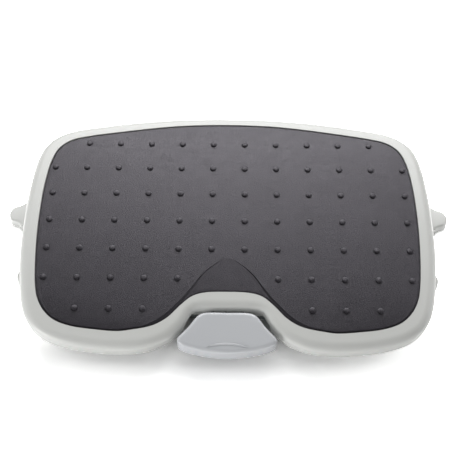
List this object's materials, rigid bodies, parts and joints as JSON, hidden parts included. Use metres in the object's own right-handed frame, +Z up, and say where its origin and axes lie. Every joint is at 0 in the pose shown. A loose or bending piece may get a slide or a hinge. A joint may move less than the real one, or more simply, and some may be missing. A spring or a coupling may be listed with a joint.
{
  "type": "tilting under desk footrest",
  "caption": "Low floor-standing footrest: crowned platform with a bumped rubber pad on parallel lift arms, tilting on a cross shaft, both locked by a brake that a front foot pedal frees.",
  "frame": {"origin": "on the floor, under the middle of the whole object", "axes": "+Z up, +X to the right seen from the pedal, +Y to the back, away from the pedal"},
  "size_m": [0.5738, 0.3405, 0.0906],
  "materials": {
    "light_plastic": "satin moulded",
    "pad_rubber": "fine leather grain",
    "floor_rubber": "matte",
    "painted_steel": "black powder coat",
    "spring_steel": "oiled",
    "nylon": "natural",
    "dark_plastic": "moulded",
    "brake_lining": "pressed fibre",
    "zinc_steel": "zinc plated"
  },
  "bodies": {
    "base": {"base_side_left": "light_plastic", "base_side_right": "light_plastic", "lift_axle": "zinc_steel", "guide_axle": "zinc_steel", "tie_strip": "zinc_steel", "lift_axle_cap_left": "dark_plastic", "guide_axle_cap_left": "dark_plastic", "spring_collar_left": "nylon", "floor_pad_left_nose": "floor_rubber", "floor_pad_left_front": "floor_rubber", "floor_pad_left_rear": "floor_rubber", "floor_pad_left_tail": "floor_rubber", "lift_axle_cap_right": "dark_plastic", "guide_axle_cap_right": "dark_plastic", "spring_collar_right": "nylon", "floor_pad_right_nose": "floor_rubber", "floor_pad_right_front": "floor_rubber", "floor_pad_right_rear": "floor_rubber", "floor_pad_right_tail": "floor_rubber"},
    "lift_arms": {"tilt_shaft": "zinc_steel", "lift_sector": "zinc_steel", "lift_arm_left": "painted_steel", "lift_bush_left": "nylon", "assist_spring_left": "spring_steel", "lift_arm_right": "painted_steel", "lift_bush_right": "nylon", "assist_spring_right": "spring_steel"},
    "guide_arms": {"guide_arm_left": "painted_steel", "guide_bush_left": "nylon", "guide_arm_right": "painted_steel", "guide_bush_right": "nylon"},
    "carrier": {"upper_rod": "zinc_steel", "tilt_sector": "zinc_steel", "carrier_link_left": "painted_steel", "carrier_link_right": "painted_steel"},
    "platform": {"platform_shell": "light_plastic", "foot_pad": "pad_rubber", "pedal_yoke": "painted_steel", "brake_guide": "dark_plastic", "pedal_pin": "zinc_steel", "pedal_return_spring": "spring_steel", "hinge_bracket_left": "painted_steel", "bracket_screw_left_front": "zinc_steel", "bracket_screw_left_rear": "zinc_steel", "yoke_screw_left": "zinc_steel", "brake_spring_left": "spring_steel", "hinge_bracket_right": "painted_steel", "bracket_screw_right_front": "zinc_steel", "bracket_screw_right_rear": "zinc_steel", "yoke_screw_right": "zinc_steel", "brake_spring_right": "spring_steel"},
    "pedal_lever": {"pedal": "light_plastic", "crank_pin": "zinc_steel"},
    "brake": {"brake_shoe": "zinc_steel", "lift_lining": "brake_lining", "tilt_lining": "brake_lining", "pull_link": "zinc_steel"}
  },
  "joints": [
    {"name": "lift", "type": "hinge", "parent": "base", "child": "lift_arms", "pos_m": [0, 0.07544, 0.01615], "axis": [-1, 0, 0], "range_deg": [0, 22.5], "stiffness_Nm_per_rad": 2, "springref_deg": 74.48, "deforming": ["assist_spring_left", "assist_spring_right"]},
    {"name": "guide_swing", "type": "hinge", "parent": "base", "child": "guide_arms", "pos_m": [0, 0.14144, 0.01615], "axis": [-1, 0, 0], "range_deg": [0, 22.5]},
    {"name": "carrier_swing", "type": "hinge", "parent": "lift_arms", "child": "carrier", "pos_m": [0, -0.02442, 0.0486], "axis": [-1, 0, 0], "range_deg": [-22.5, 0]},
    {"name": "tilt", "type": "hinge", "parent": "carrier", "child": "platform", "pos_m": [0, -0.02442, 0.0486], "axis": [1, 0, 0], "range_deg": [-8.42, 8.5]},
    {"name": "pedal_press", "type": "hinge", "parent": "platform", "child": "pedal_lever", "pos_m": [0, -0.12963, 0.02999], "axis": [1, 0, 0], "range_deg": [0, 12], "stiffness_Nm_per_rad": 5, "springref_deg": -11.46, "deforming": ["pedal_return_spring"]},
    {"name": "brake_release", "type": "slide", "parent": "platform", "child": "brake", "axis": [0, -0.9892, -0.1464], "range_m": [0, 0.0021], "deforming": ["brake_spring_left", "brake_spring_right"]}
  ],
  "couplings": [
    {"joint": "guide_swing", "follows": "lift", "ratio": 1},
    {"joint": "carrier_swing", "follows": "lift", "ratio": -1},
    {"joint": "brake_release", "follows": "pedal_press", "m_per_rad": 0.01}
  ]
}
